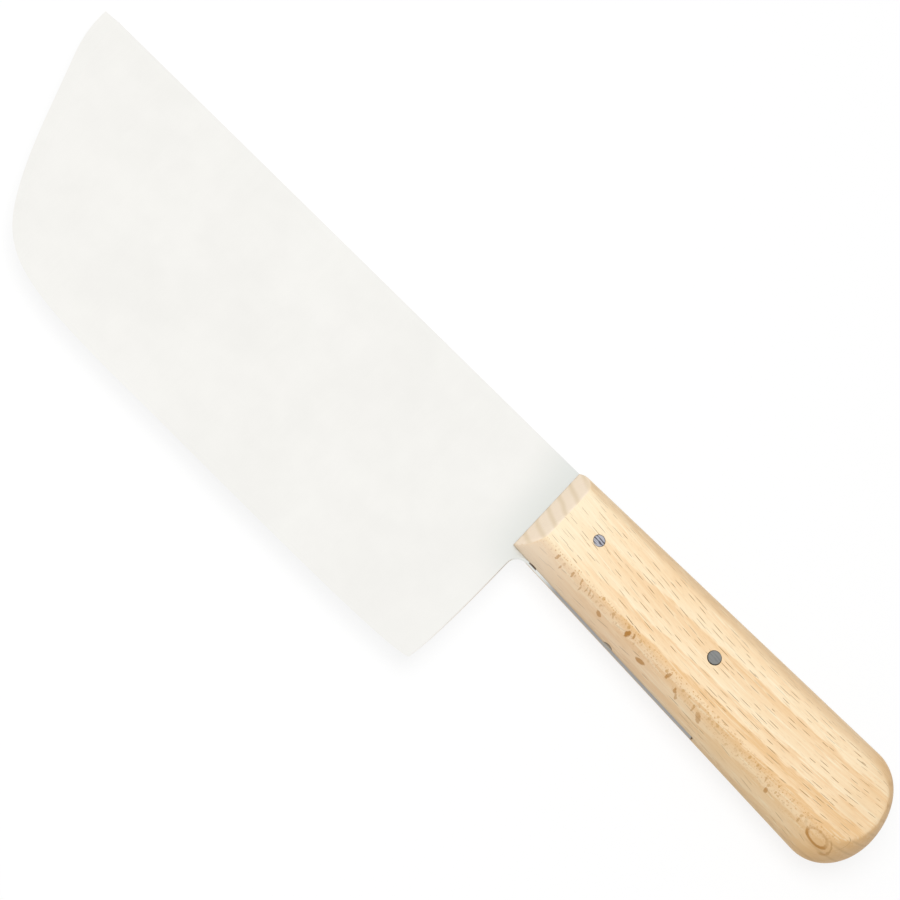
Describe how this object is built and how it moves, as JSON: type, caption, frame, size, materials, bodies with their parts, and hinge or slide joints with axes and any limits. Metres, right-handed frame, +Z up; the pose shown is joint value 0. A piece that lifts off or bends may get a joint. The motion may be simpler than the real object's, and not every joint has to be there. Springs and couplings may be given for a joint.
{
  "type": "kitchen cleaver",
  "caption": "Kitchen cleaver with a wide flat-ground steel blade, swept nose and straight spine, and a slotted beech handle pinned across the half tang.",
  "frame": {"origin": "middle of the footprint, on the surface that the cleaver lies on with one flat side of the handle", "axes": "+X along the spine from the tip towards the butt, +Y from the cutting edge towards the spine, +Z up out of the upper side"},
  "size_m": [0.3048, 0.076, 0.0196],
  "materials": {
    "blade_steel": "fine satin, pale and even",
    "beech": "sanded, lightly oiled",
    "pin_steel": "filed flush with the wood"
  },
  "bodies": {
    "root": {"blade": "blade_steel", "handle": "beech", "front_pin": "pin_steel", "rear_pin": "pin_steel"}
  },
  "joints": []
}
